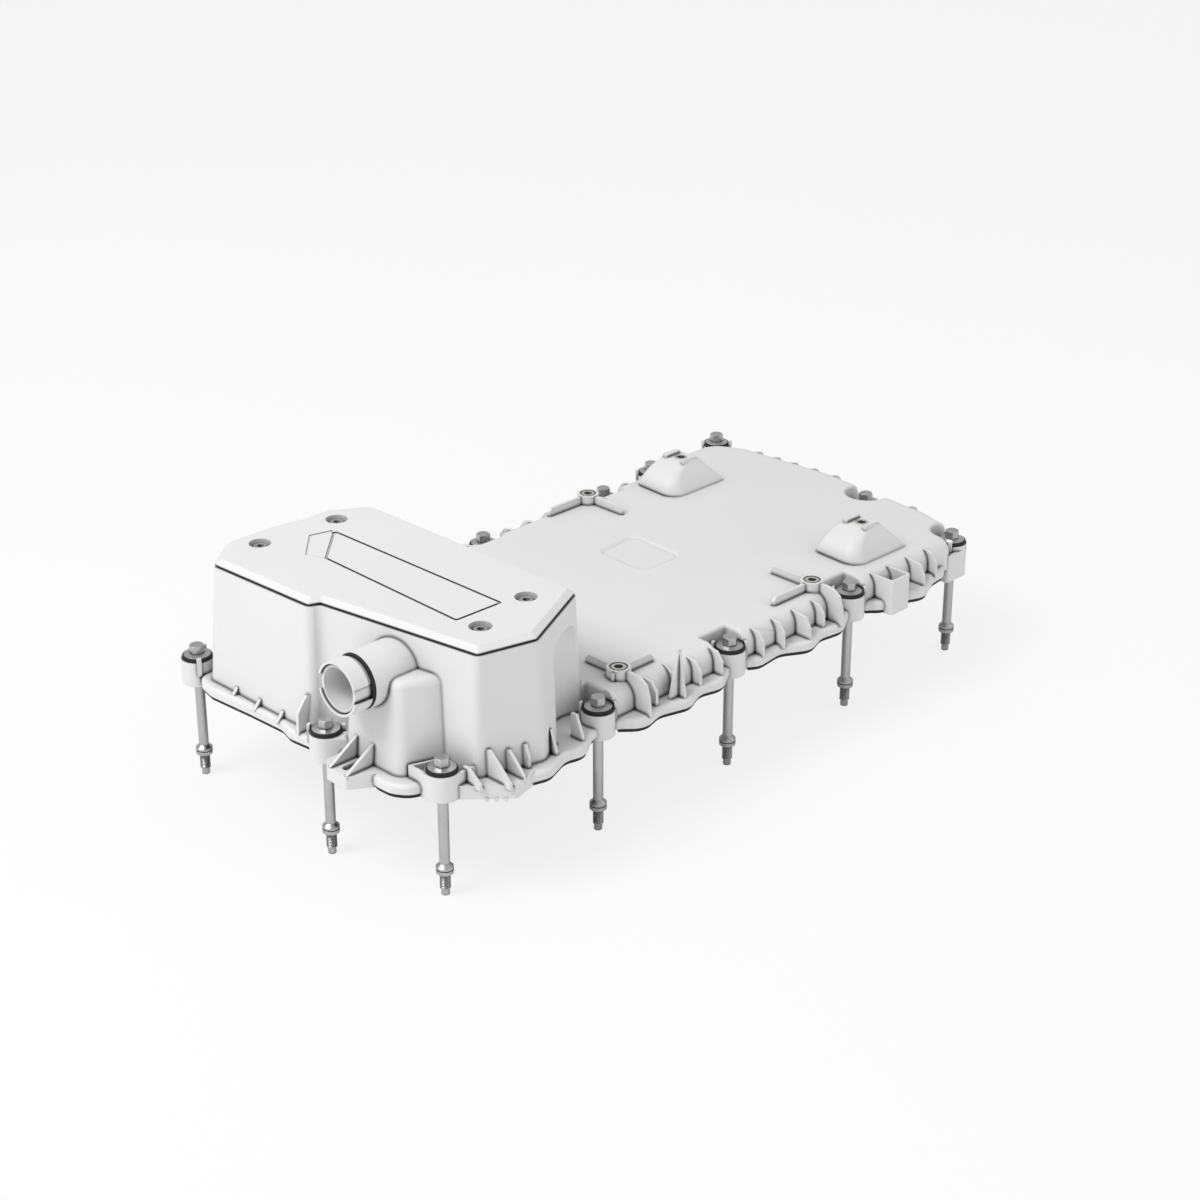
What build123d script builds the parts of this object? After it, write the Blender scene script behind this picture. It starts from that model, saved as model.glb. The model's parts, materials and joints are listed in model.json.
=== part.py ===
"""Engine valve cover with a built-in crankcase breather.

A moulded plastic cover closes the top of a cylinder head.  Its low dome spans the
valve gear, and a tall housing at the left end holds an oil separator under a
screwed lid.  Thirteen captive bolts with rubber isolators hold it down.

Frame: millimetres, +Z up.  The origin is on the axis of the near middle bolt, in
the joint plane of the cylinder head.  +X runs along the row of near bolts, away
from the breather housing, and +Y runs across the cover.
"""
from build123d import *
from math import atan2, cos, degrees, hypot, pi, radians, sin, tan
import os

# ---------------------------------------------------------------- driving sizes
# Bolt layout
bolt_pitch = 140.0
bolt_row_gap = 274.0
near_left_bolt = (-139.4, 11.9)
left_bolt = (-159.6, 111.9)
far_left_bolt = (-152.0, 272.3)
squared_bolt = (418.2, 5.5)
end_bolt = (430.3, 107.3)
far_inner_bolt = (350.3, 285.0)
far_right_bolt = (442.4, 291.6)

# Wall and flange
wall = 3.2
flange_bottom = 3.2
flange_top = 10.4
flange_edge_radius = 3.3

# Low dome
dome_top = 30.8
dome_shoulder = 12.0
near_wall_y = -6.5
far_wall_y = 270.5
right_wall_x = 447.0
dome_left_x = -64.0
dome_corner = 26.0
pocket_radius = 17.0
pocket_edge_radius = 3.0
notch_left = 18.5
notch_right = 11.0
notch_depth = 15.0
notch_corner = 2.0
notch_edge_radius = 3.0
draft_angle = 2.0

# Breather housing
rim_z = 101.7
housing_corner = 7.0
rim_width = 6.2
rim_depth = 6.0
trough_radius = 30.0
trough_centre = (-15.5, -7.5)
trough_top = 86.0
trough_shoulder = 12.0
near_pocket_right = 9.8
dimple_depth = 1.6
dimple_slope = 3.0
dimple_corner = 10.0

# Breather lid
seal_thickness = 1.5
lid_thickness = 4.0
lid_edge_inset = 1.5
lid_bevel = 4.2
screw_recess_radius = 8.4
screw_recess_depth = 6.5
cup_wall = 2.2
lid_screw_radius = 2.9
lid_screw_length = 14.0
lid_insert_radius = 4.2
lid_insert_length = 12.0
screw_head_radius = 5.0
screw_head_height = 4.5
screw_socket_across = 5.0
screw_socket_depth = 2.6
lip_gap = 0.4
lip_wall = 2.4
badge_depth = 1.0
badge_border = 2.2

# Bolts, isolators and limiters
shank_radius = 3.8
thread_radius = 4.0
hex_across_flats = 10.0
hex_height = 6.5
bolt_head_top = 30.0
bolt_flange_radius = 10.25
bolt_flange_height = 1.5
bolt_length = 109.3
collar_radius = 6.35
collar_top = -54.0
collar_bottom = -62.0
collar_slope = 2.5
dog_radius = 3.05
dog_length = 4.5
flange_rim = 0.6
hex_turn = 29.0
boss_radius = 12.4
boss_top = 19.6
ear_rise = 4.4
ear_thickness = 2.4
ear_width = 3.6
ear_radius = 12.7
ear_angle = 76.0
ear_foot = 1.0
skirt_reach = 22.0
grommet_radius = 11.2
limiter_bore = 4.5
limiter_wall = 1.3
rubber_wall = 2.4
fit_gap = 0.1

# Gasket
gasket_width = 4.6
gasket_inset = 1.3
gasket_height = 6.4
boss_clearance = 2.0
gasket_gap = 0.1

# Ribs
rib_pitch = 70.0 / 3.0
rib_thickness = 2.8
rib_root = 2.4
near_rib_steps = (2, 4, 5, 7, 8, 10, 16)
long_rib_steps = (9, 15)
far_rib_steps = (1, 2, 4, 5, 7, 8, 9, 10, 13, 14)
end_rib_y = (64.0, 155.0, 178.0, 200.0, 219.0, 239.0)
gusset_thickness = 2.6
near_gussets = [
    (-126.7, -14.3, -1.8, 21.3), (-111.3, -28.0, -6.7, 31.3), (-96.8, -26.0, -10.8, 27.4),
    (-57.1, -17.0, -10.9, 28.7), (-29.1, -15.0, -7.9, 28.8),
]
stub_gusset_x = -84.0
left_gusset_y = (217.5, 190.5, 164.0)
tall_gusset_y = 137.5

# Small blocks and fingers on the flange
block_wall = 2.4
block_corner = 3.0
pocket_block_x = (304.0, 327.0)
pocket_block_front = -24.2
pocket_block_back = 4.0
pocket_block_top = 29.2
squared_left = 20.0
squared_right = 6.0
squared_back = 8.0
squared_low = -8.0
squared_top = 16.0
squared_floor = 6.0
spire_step = 3
spire_y = -13.5
spire_top = 48.0
spire_thickness = 2.4
lug_gusset_y = (82.0, 64.3)
lug_gusset_top = 27.0
lug_gusset_thickness = 2.5
lug_slot_length = 17.0
lug_slot_width = 7.0
lug_slot_depth = 3.0
nib_size = (6.0, 2.4, 3.4)

# Ribbed bosses on the dome
round_boss_spacing_x = 215.0
round_boss_spacing_y = 248.5
round_boss_near_y = 11.5
round_boss_top = 38.4
round_boss_radius = 9.2
round_boss_recess = 7.0
bell_radius = 17.4
bell_waist = 30.0
bell_shoulder = 18.0
arm_drop = 0.6
arm_end_slope = 3.0
arm_end_drop = 3.5
arm_lengths = [(35.0, 33.0), (46.0, 41.0)]
tongue_low = 21.0
tongue_top = 37.6
tongue_reach = 2.2
tongue_angle = 200.0
block_boss_x = 333.5
block_boss_near_y = 33.5
block_boss_spacing = 200.0
block_boss_top = 54.5
block_foot_left = 32.5
block_head_left = 9.0
block_foot_near = 22.5
block_foot_far = 24.0
block_foot_right = 32.0
block_side_slope = 10.5
block_right_slope = 22.5
block_bulge = 2.6
block_levels = (39.0, 46.0, 51.0)
block_room_level = 42.0
rail_length = 16.0
rail_height = 2.4
near_rail = (-10.8, 2.4)
far_rail = (9.5, 5.0)
insert_radius = 5.4
insert_bore = 3.4
insert_length = 14.0
recess_depth = 0.8

# Outlet port on the slanted wall
port_y = 70.5
port_z = 75.2
port_mouth_x = -181.0
port_root_radius = 20.8
port_spigot_radius = 17.5
port_bore_radius = 15.5
port_guard_radius = 20.1
port_guard_wall = 1.8
port_seal_reach = 18.0
port_seal_width = 2.2
port_window_half = 0.28 * port_guard_radius
port_collar_width = 4.0
port_collar_step = 1.2
port_bore_end = -141.0
port_cradle_reach = 13.0
port_root_end = -120.0

# Separator chamber
tray_z = 30.0
tray_thickness = 3.0
post_radius = 6.5
post_bottom = tray_z + tray_thickness
post_web = 2.5
tray_screw_radius = 2.0
tray_screw_length = 12.0
tray_screw_head_radius = 4.0
tray_screw_head_height = 2.4
ledge_width = 4.0
ledge_thickness = 3.0
filter_centre = (-66.0, 176.0)
filter_radius = 42.0
filter_bore = 24.0
filter_height = 42.0
filter_cap = 3.0
filter_cap_overhang = 1.5
filter_neck_length = 8.0
filter_neck_bore = 11.5
core_window = 9.0
regulator_centre = (-78.0, 78.0)
regulator_radius = 27.0
regulator_z = 46.0
plate_thickness = 1.6
regulator_plate_radius = 18.0
diaphragm_thickness = 1.2
diaphragm_z = regulator_z + plate_thickness + 1.4
regulator_cap_height = 14.0
regulator_cap_wall = 2.4
regulator_vent_radius = 3.0
carrier_wall = 2.6
carrier_gap = 20.0
diaphragm_roll = 2.5
seat_radius = 14.0
spring_radius = 9.0
spring_wire = 1.6
spring_turns = 3
spring_steps = 14
filter_low = tray_z + tray_thickness + 9.0
neck_radius = 16.0
neck_seal_width = 2.2
neck_seal_z = filter_low - 5.0
core_wall = 1.8
drain_centre = (-125.0, 215.0)
drain_radius = 5.0
drain_skirt = 3.0
drain_lip = 1.4

# ---------------------------------------------------------------- derived places
near_bolts = [near_left_bolt, (0, 0), (bolt_pitch, 0), (2 * bolt_pitch, 0)]
far_bolts = [(0, bolt_row_gap), (bolt_pitch, bolt_row_gap), (2 * bolt_pitch, bolt_row_gap)]
round_bolts = near_bolts + far_bolts + [left_bolt, far_left_bolt, end_bolt, far_inner_bolt, far_right_bolt]
all_bolts = round_bolts + [squared_bolt]
pocket_bolts = [end_bolt, far_right_bolt, squared_bolt, far_inner_bolt]
row_split_y = bolt_row_gap / 2
column_split_x = 2.5 * bolt_pitch

lid_bottom = rim_z + seal_thickness
lid_top = lid_bottom + lid_thickness
lid_cup_bottom = lid_top - screw_recess_depth - cup_wall
post_top = lid_cup_bottom
bolt_seat = bolt_head_top - hex_height - bolt_flange_height
ledge_bottom = tray_z + tray_thickness + seal_thickness
web_top = post_top - 6.0
room_bottom = flange_top - 1.0
below_all = -30.0
port_seal_x = port_mouth_x + port_seal_reach
port_cradle_end = port_seal_x + port_cradle_reach
rib_low = flange_top - rib_root
rib_high = dome_top - 1.4

round_boss_mid_x = bolt_pitch
round_boss_x = [round_boss_mid_x + side * round_boss_spacing_x / 2 for side in (-1, 1)]
round_boss_y = [round_boss_near_y, round_boss_near_y + round_boss_spacing_y]
block_boss_y = [block_boss_near_y, block_boss_near_y + block_boss_spacing]

lid_screws_at = [(-108.0, 245.0), (-39.2, 240.0), (-33.6, 38.2), (-88.8, 25.4)]

# Outline corners of the housing, clockwise from the far left, at its foot and at its rim.
# The two lists pair up corner by corner.
housing_foot = [
    (-157.2, 249.0), (-124.5, 273.0), (-79.0, 272.6), (-56.0, 268.4), (-29.5, 267.6), (2.5, 248.0),
    (5.5, 236.0), (7.5, 23.0), (-69.0, -16.5), (-119.5, -2.6), (-143.8, 130.5), (-157.2, 132.0),
]
housing_rim = [
    (-151.3, 244.7), (-122.9, 268.2), (-79.3, 267.8), (-56.0, 263.4), (-31.0, 262.8), (-2.6, 245.5),
    (0.5, 235.0), (2.4, 23.6), (-70.0, -12.0), (-116.0, -0.8), (-138.4, 138.5), (-147.0, 142.0),
]

# Corners of the low dome, anticlockwise from its near left corner.
dome_corners = [
    (dome_left_x, near_wall_y), (404.0, near_wall_y), (430.0, 16.0), (438.0, 48.0),
    (right_wall_x, 160.0), (right_wall_x - 7.0, 250.0), (424.0, 283.0), (384.0, 284.0),
    (322.0, far_wall_y + 1.5), (180.0, far_wall_y - 0.5), (dome_left_x, far_wall_y),
]

# Corners of the scalloped flange edge, anticlockwise from boss 3.
flange_corners = [
    (-136.0, 2.0), (-112.0, -10.0), (-96.0, -21.5), (-74.0, -27.8), (-50.0, -18.2), (-35.0, -22.5),
    (-14.0, -8.5), (8.0, -8.0), (25.0, -23.6), (47.0, -17.0), (72.0, -23.9), (92.0, -15.0),
    (112.0, -20.0), (131.0, -8.0), (149.0, -8.0), (158.0, -15.0), (185.0, -11.8), (207.0, -24.4),
    (228.0, -16.6), (250.0, -19.8), (270.0, -8.0), (290.0, -6.0), (303.0, -18.5), (326.0, -17.5),
    (345.0, -25.5), (370.0, -13.8), (388.0, -11.5), (401.0, 1.0), (436.0, 6.0), (447.0, 34.0),
    (445.5, 84.0), (445.5, 128.0), (458.5, 146.0), (458.0, 218.0), (452.0, 262.0), (446.0, 288.0),
    (430.0, 296.0),
    (392.0, 298.5), (362.0, 288.0), (338.0, 290.0), (304.0, 289.5), (290.0, 279.5), (268.0, 280.0),
    (252.0, 291.5), (232.0, 287.0), (210.0, 293.5), (187.0, 285.0), (152.0, 287.5), (132.0, 281.0),
    (112.0, 291.5), (92.0, 286.5), (70.0, 293.5), (47.0, 287.0), (25.0, 292.5), (8.0, 281.5),
    (-12.0, 281.5), (-28.0, 290.0), (-60.0, 286.0), (-92.0, 288.5), (-134.0, 285.5), (-150.0, 265.0),
    (-161.5, 258.0), (-165.8, 239.0), (-163.2, 196.0), (-162.0, 160.0), (-166.2, 146.0),
    (-164.0, 122.0), (-158.0, 98.0), (-160.5, 66.0), (-168.0, 50.0), (-167.5, 34.0),
    (-160.0, 22.0), (-146.0, 18.0),
]
flange_wave_radius = 16.0


# ---------------------------------------------------------------- outline helpers
def signed_area(corners):
    """Twice the area of an outline, positive when it runs anticlockwise."""
    return sum(a[0] * b[1] - b[0] * a[1] for a, b in zip(corners, corners[1:] + corners[:1]))


def corner_turn(before, corner, after):
    """Angle in radians that an outline turns through at a corner."""
    arriving = atan2(corner[1] - before[1], corner[0] - before[0])
    leaving = atan2(after[1] - corner[1], after[0] - corner[0])
    return abs((leaving - arriving + pi) % (2 * pi) - pi)


def rounded(corners, radius):
    """Face inside a closed outline, each corner rounded as far as its two sides allow."""
    wanted = radius if isinstance(radius, list) else [radius] * len(corners)
    if signed_area(corners) < 0:
        corners, wanted = corners[::-1], wanted[::-1]
    radii = []
    for i, corner in enumerate(corners):
        before, after = corners[i - 1], corners[(i + 1) % len(corners)]
        shorter = min(hypot(corner[0] - p[0], corner[1] - p[1]) for p in (before, after))
        room = 0.48 * shorter / tan(corner_turn(before, corner, after) / 2)
        radii.append(min(wanted[i], room))
    return make_face(FilletPolyline(*corners, radius=radii, close=True))


def inset(corners, distance):
    """Corners of an outline moved inwards by a wall thickness, whichever way it runs."""
    side = distance if signed_area(corners) > 0 else -distance
    moved = []
    for i, corner in enumerate(corners):
        before, after = corners[i - 1], corners[(i + 1) % len(corners)]
        first = atan2(corner[1] - before[1], corner[0] - before[0])
        second = atan2(after[1] - corner[1], after[0] - corner[0])
        half = ((second - first + pi) % (2 * pi) - pi) / 2
        reach = side / cos(half)
        direction = first + half + pi / 2
        moved.append((corner[0] + reach * cos(direction), corner[1] + reach * sin(direction)))
    return moved


def cylinder(x, y, low, high, radius):
    """Upright cylinder between two heights."""
    return extrude(Pos(x, y, low) * Circle(radius), amount=high - low)


def slab(points_face, low, high):
    """Flat face raised between two heights."""
    return extrude(Pos(0, 0, low) * points_face, amount=high - low)


def plate_along_y(x, profile, thickness):
    """Rib that stands in a plane across the cover, from (y, z) corners."""
    face = make_face(Polyline(*[(x - thickness / 2, y, z) for y, z in profile], close=True))
    return extrude(face, amount=thickness, dir=(1, 0, 0))


def plate_along_x(y, profile, thickness):
    """Rib that stands in a plane along the cover, from (x, z) corners."""
    face = make_face(Polyline(*[(x, y - thickness / 2, z) for x, z in profile], close=True))
    return extrude(face, amount=thickness, dir=(0, 1, 0))


def mirrored_profile(profile):
    """The same rib profile on the far side of the dome."""
    return [(near_wall_y + far_wall_y - y, z) for y, z in profile]


# ---------------------------------------------------------------- cover moulding
def dome(thickness, low):
    """Low cover over the valve gear, or the room inside it, with a rounded shoulder."""
    outline = rounded(inset(dome_corners, thickness), dome_corner - thickness)
    body = extrude(Pos(0, 0, low) * outline, amount=dome_top - thickness - low, taper=draft_angle)
    return fillet(body.edges().group_by(Axis.Z)[-1], dome_shoulder - thickness)


def pocket_plan(place, radius, outward, run):
    """Outline of the room for a socket around a bolt, open towards the flange edge."""
    heading = degrees(atan2(outward[1], outward[0]))
    shape = Rot(0, 0, heading) * Circle(radius)
    if run:
        shape += Rot(0, 0, heading) * Pos(run / 2, 0) * Rectangle(run, 2 * radius)
    return Pos(place[0], place[1], flange_top) * shape


def pocket_plans(radius):
    """Outlines of the round bolt pockets at the dome's right-hand corners and end."""
    corners = [(end_bolt, (1, 0)), (far_right_bolt, (1, 1)), (squared_bolt, (1, -1))]
    inner = [pocket_plan(far_inner_bolt, radius, (0, 1), 0)]
    return inner + [pocket_plan(p, radius, way, 2 * radius) for p, way in corners]


def dome_pockets(radius):
    """Round bolt pockets, widening upwards with the moulding's draft."""
    depth = dome_top - flange_top + dome_shoulder
    return [extrude(plan, amount=depth, taper=-draft_angle) for plan in pocket_plans(radius)]


def pocket_lands(radius):
    """What stays solid of the flange below the round bolt pockets."""
    return [extrude(plan, amount=-2 * flange_top) for plan in pocket_plans(radius)]


def notch(place, outward, grow, low):
    """Square-cornered room behind a bolt in the dome's long sides, open towards the flange edge."""
    x, y = place
    left, right, back = x - notch_left - grow, x + notch_right + grow, y - outward * (notch_depth + grow)
    front = y + outward * 3 * notch_depth
    corners = [(left, front), (left, back), (right, back), (right, front)]
    return slab(rounded(corners, notch_corner + grow), low, dome_top + dome_shoulder)


def near_pocket(grow, low):
    """Room round the near middle bolt, from the hollow in the housing to a square corner."""
    x, y = trough_centre
    radius = trough_radius + grow
    right = near_pocket_right + grow
    back = CenterArc((x, y), radius, 90, 180)
    corners = [(x, y - radius), (right, y - radius), (right, y + radius), (x, y + radius)]
    outline = make_face([back, FilletPolyline(*corners, radius=notch_corner + grow)])
    return slab(outline, low, dome_top + dome_shoulder)


def dome_notches(grow, low):
    """The rooms behind the bolts of both long sides."""
    near = [notch(place, -1, grow, low) for place in near_bolts[2:]] + [near_pocket(grow, low)]
    return near + [notch(place, 1, grow, low) for place in far_bolts]


def housing_section(z):
    """Corners of the housing's walls at one height."""
    share = (z - flange_top) / (rim_z - flange_top)
    pairs = zip(housing_foot, housing_rim)
    return [(a[0] + (b[0] - a[0]) * share, a[1] + (b[1] - a[1]) * share) for a, b in pairs]


def housing(thickness, low, high):
    """Drafted walls of the breather housing, or the room inside them."""
    ends = []
    for z in (low, high):
        outline = rounded(inset(housing_section(z), thickness), housing_corner - thickness)
        ends.append(Pos(0, 0, z) * outline)
    return loft(ends, ruled=True)


def trough(radius):
    """Round-backed hollow in the slanted wall above the near middle bolt."""
    x, y = trough_centre
    grow = radius - trough_radius
    hollow = cylinder(x, y, flange_top - 2.0, trough_top + grow, radius)
    return fillet(hollow.edges().group_by(Axis.Z)[-1], trough_shoulder + grow)


column_foot = [(-157.5, 36.5), (-110.0, 20.0), (-110.0, 104.0), (-157.5, 97.0)]
column_head = [(-151.0, 42.0), (-110.0, 25.0), (-110.0, 100.0), (-151.0, 93.0)]
column_top = 79.0
column_corner = 9.0
column_shoulder = 6.0


def column(thickness):
    """Swelling in the slanted wall that carries the outlet port."""
    corner = column_corner - thickness
    low = Pos(0, 0, flange_top + thickness) * rounded(inset(column_foot, thickness), corner)
    high = Pos(0, 0, column_top - thickness) * rounded(inset(column_head, thickness), corner)
    body = loft([low, high], ruled=True)
    return fillet(body.edges().group_by(Axis.Z)[-1], column_shoulder - thickness)


def along_port(start, end, radius):
    """Round bar on the port's axis between two places along X."""
    face = Plane(origin=(start, port_y, port_z), z_dir=(1, 0, 0)) * Circle(radius)
    return extrude(face, amount=end - start)


def port_outside():
    """Outlet port: root, sealing groove, spigot and the split guard around it."""
    inner_radius = port_guard_radius - port_guard_wall
    groove_start = port_seal_x - port_seal_width
    guard_end = groove_start - 0.75 * port_collar_width
    root = along_port(port_seal_x, port_root_end, port_root_radius)
    spigot = along_port(port_mouth_x + 1.5, port_root_end, port_spigot_radius)
    collar_start = groove_start - port_collar_width
    collar = along_port(collar_start, groove_start, port_guard_radius - port_collar_step)
    guard = along_port(port_mouth_x, guard_end, port_guard_radius)
    guard -= along_port(port_mouth_x - 1.0, guard_end, inner_radius)
    cradle = along_port(port_mouth_x, port_cradle_end, port_guard_radius)
    cradle -= along_port(port_mouth_x - 1.0, port_cradle_end + 1.0, inner_radius)
    width, depth = 3 * port_guard_radius, 2 * (groove_start - port_mouth_x)
    axis = Pos(port_mouth_x, port_y, port_z)
    lower = axis * Pos(0, 0, -port_window_half - width / 2) * Box(5 * port_guard_radius, width, width)
    window = axis * Box(depth, width, 2 * port_window_half)
    groove = along_port(groove_start, port_seal_x, port_root_radius + 1.0)
    return root + (guard + collar + (cradle & lower) - window - groove) + spigot


def bolt_boss(place):
    """Boss for one isolated bolt, with two short ears beside the washer."""
    x, y = place
    boss = cylinder(x, y, 0, boss_top, boss_radius)
    if place == near_left_bolt:
        return boss
    heading = (45 if x < column_split_x else 135) * (1 if y < row_split_y else -1)
    low, high = flange_top - ear_foot, boss_top + ear_rise
    for side in (-1, 1):
        ear = Pos(ear_radius, 0, (low + high) / 2) * Box(ear_thickness, ear_width, high - low)
        boss += Pos(x, y, 0) * Rot(0, 0, heading + side * ear_angle) * ear
    return boss


def boss_skirts():
    """Walls that carry the near left boss and the left boss on to the housing."""
    x, y = near_left_bolt
    low, back, end = -boss_radius, boss_radius - ear_thickness, skirt_reach
    outline = [(x + low, y + low), (x + end, y + low), (x + end, y + back), (x + low, y + end)]
    skirts = slab(rounded(outline, [boss_radius, 1.0, 1.0, 1.0]), 0, boss_top)
    inner = rounded(inset(outline, ear_thickness), [boss_radius - ear_thickness, 1.0, 1.0, 1.0])
    skirts -= slab(inner, flange_top, boss_top + 1.0)
    x, y = left_bolt
    wall_block = Pos(skirt_reach / 2, boss_radius / 2, 0) * Rectangle(skirt_reach, boss_radius)
    skirts += Pos(x, y, 0) * Rot(0, 0, -45) * mirror(slab(wall_block, 0, boss_top), Plane.XZ)
    return skirts


def boss_holes():
    """Stepped bores for the isolators in every boss."""
    holes = []
    bore = limiter_bore + limiter_wall + rubber_wall
    for x, y in all_bolts:
        holes.append(cylinder(x, y, below_all, boss_top + 1.0, bore))
        holes.append(cylinder(x, y, boss_top - rubber_wall, boss_top + 12.0, grommet_radius + fit_gap))
    return holes


# Rib profiles as (y, z) or (x, z) corners, outwards from the dome's wall.
near_rib = [
    (10.5, rib_low), (-7.8, rib_low + 0.5), (-7.2, 21.3), (-2.0, 28.0), (7.7, rib_high), (10.5, rib_high),
]
long_rib = [
    (10.5, rib_low), (-14.3, rib_low + 0.5), (-13.3, 19.2), (-8.9, 27.1), (6.0, rib_high - 0.2),
    (10.5, rib_high - 0.2),
]
end_rib = [
    (-8.0, rib_low), (8.6, rib_low + 0.5), (8.0, 20.0), (3.0, 26.5), (-6.0, rib_high - 0.6),
    (-8.0, rib_high - 0.6),
]


def edge_ribs():
    """Stiffening ribs between the dome's side and the flange."""
    short = [(near_wall_y + y, z) for y, z in near_rib]
    long = [(near_wall_y + y, z) for y, z in long_rib]
    ribs = [plate_along_y(step * rib_pitch, short, rib_thickness) for step in near_rib_steps]
    ribs += [plate_along_y(step * rib_pitch, long, rib_thickness) for step in long_rib_steps]
    far = mirrored_profile(short)
    ribs += [plate_along_y(step * rib_pitch, far, rib_thickness) for step in far_rib_steps]
    low_corner, mid_corner, high_corner = dome_corners[3:6]
    for y in end_rib_y:
        first, last = (low_corner, mid_corner) if y < mid_corner[1] else (mid_corner, high_corner)
        wall_x = first[0] + (last[0] - first[0]) * (y - first[1]) / (last[1] - first[1])
        profile = [(wall_x + x, z) for x, z in end_rib]
        ribs.append(plate_along_x(y, profile, rib_thickness))
    return ribs


def spire():
    """Pointed harness finger: two wings that meet at an upright fold."""
    x, y, top = spire_step * rib_pitch, spire_y, spire_top
    half = spire_thickness / 2
    wing = [(x - 10.5, rib_low), (x + half, rib_low), (x + half, top), (x - 0.8, top)]
    blade = [(y - 7.5, rib_low), (y + half, rib_low), (y + half, top), (y - 0.8, top)]
    root_y = near_wall_y + 10.5
    top_edge = [(y, 27.0), (y + 6.0, 26.0), (0.5, dome_top - 0.4), (root_y, dome_top - 0.4)]
    tie = [(root_y, rib_low), (y, rib_low)] + top_edge
    finger = plate_along_x(y, wing, spire_thickness) + plate_along_y(x, blade, spire_thickness)
    return finger + plate_along_y(x, tie, spire_thickness)


def housing_ribs():
    """Gussets between the breather housing and the flange."""
    ribs = []
    for x, edge_y, wall_y, tip in near_gussets:
        root_y = wall_y + 5.0
        profile = [(root_y, rib_low), (edge_y, rib_low), (edge_y + 0.6, 12.5)]
        profile += [(wall_y, tip), (root_y, tip)]
        ribs.append(plate_along_y(x, profile, gusset_thickness))
    stub = [(-7.0, rib_low), (-17.0, rib_low), (-17.0, 19.0), (-13.5, 28.1), (-7.0, 28.1)]
    ribs.append(plate_along_y(stub_gusset_x, stub, gusset_thickness))
    small = [(-154.0, rib_low), (-163.5, rib_low + 0.2), (-157.4, 15.8), (-154.0, 15.8)]
    ribs += [plate_along_x(y, small, gusset_thickness) for y in left_gusset_y]
    tall = [(-152.0, rib_low), (-165.2, rib_low + 0.2), (-164.6, 26.0), (-156.5, 37.0), (-152.0, 37.0)]
    ribs.append(plate_along_x(tall_gusset_y, tall, gusset_thickness))
    return ribs


def lug():
    """Side lug below the outlet port, with two gussets and a shallow oblong pocket."""
    root_x = -150.0
    outline = [
        (root_x, 94.0), (-175.0, 93.4), (-181.8, 85.0), (-182.3, 64.0), (-163.8, 52.0), (root_x, 52.0),
    ]
    plate = slab(rounded(outline, 2.0), 0, flange_top)
    tip_x, wall_x, top = -181.6, -155.7, lug_gusset_top
    gusset = [(root_x, rib_low), (tip_x, rib_low), (tip_x, flange_top + 0.4)]
    gusset += [(wall_x, top), (root_x, top)]
    for y in lug_gusset_y:
        plate += plate_along_x(y, gusset, lug_gusset_thickness)
    slot = Pos(-168.0, 73.0, flange_top - lug_slot_depth) * SlotOverall(lug_slot_length, lug_slot_width)
    return plate - extrude(slot, amount=lug_slot_depth + 1.0, dir=(0, 0, 1))


def corner_pad():
    """Full-depth pad at the near left corner, with three grip nibs under it."""
    face_start, face_end = (-137.3, 0.6), (-106.7, -28.0)
    outline = [face_start, face_end, (-80.5, -21.5), (-84.0, -10.0), (-122.0, 6.0)]
    pad = slab(rounded(outline, 2.0), 0, flange_top)
    for share in (0.50, 0.66, 0.82):
        x = face_start[0] + (face_end[0] - face_start[0]) * share
        y = face_start[1] + (face_end[1] - face_start[1]) * share
        pad += Pos(x + 2.0, y + 2.0, -0.5) * Rot(0, 0, 45) * Box(*nib_size)
    return pad


def open_box(x_range, y_range, low, floor, top):
    """Upright box of thin walls, open at the top; the floor is its height inside."""
    (left, right), (near, far) = x_range, y_range
    outline = [(left, near), (right, near), (right, far), (left, far)]
    room = rounded(inset(outline, block_wall), block_corner / 2)
    return slab(rounded(outline, block_corner), low, top) - slab(room, floor, top + 1.0)


def pocket_block():
    """Open-topped box on the near flange between two side walls."""
    depth = (pocket_block_front, pocket_block_back)
    box = open_box(pocket_block_x, depth, 0, flange_top, pocket_block_top)
    left, right = pocket_block_x
    room = [(left, 0), (right, 0), (right, 20.0), (left, 20.0)]
    return box - slab(rounded(inset(room, block_wall), 0.5), flange_top, pocket_block_top + 1.0)


def squared_boss():
    """Box-shaped front of the last near boss, hollow on top."""
    x, y = squared_bolt
    width, depth = (x - squared_left, x + squared_right), (y - boss_radius, y + squared_back)
    return open_box(width, depth, squared_low, squared_floor, squared_top)


def arm(start, end, height, heading):
    """Low rib that runs out from a round boss along the dome."""
    root = dome_top - 2.0
    slope, tip = end - arm_end_slope, height - arm_end_drop
    profile = [(start, root), (start, height), (slope, height), (end, tip), (end, root)]
    return Rot(0, 0, heading) * plate_along_x(0, profile, rib_thickness)


def boss_bell():
    """Column below a near round boss, swelling to its foot on the flange."""
    foot, head = (bell_radius, 0, bell_shoulder), (round_boss_radius, 0, bell_waist)
    middle = tuple((a + b) / 2 for a, b in zip(foot, head))
    side = Spline(head, middle, foot, tangents=((0, 0, -1), (0, 0, -1)))
    root = flange_top - 1.0
    inside = [(bell_radius, 0, root), (0, 0, root), (0, 0, dome_top), (round_boss_radius, 0, dome_top)]
    rest = Polyline(foot, *inside, head)
    return revolve(make_face([side, rest]), Axis.Z)


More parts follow.
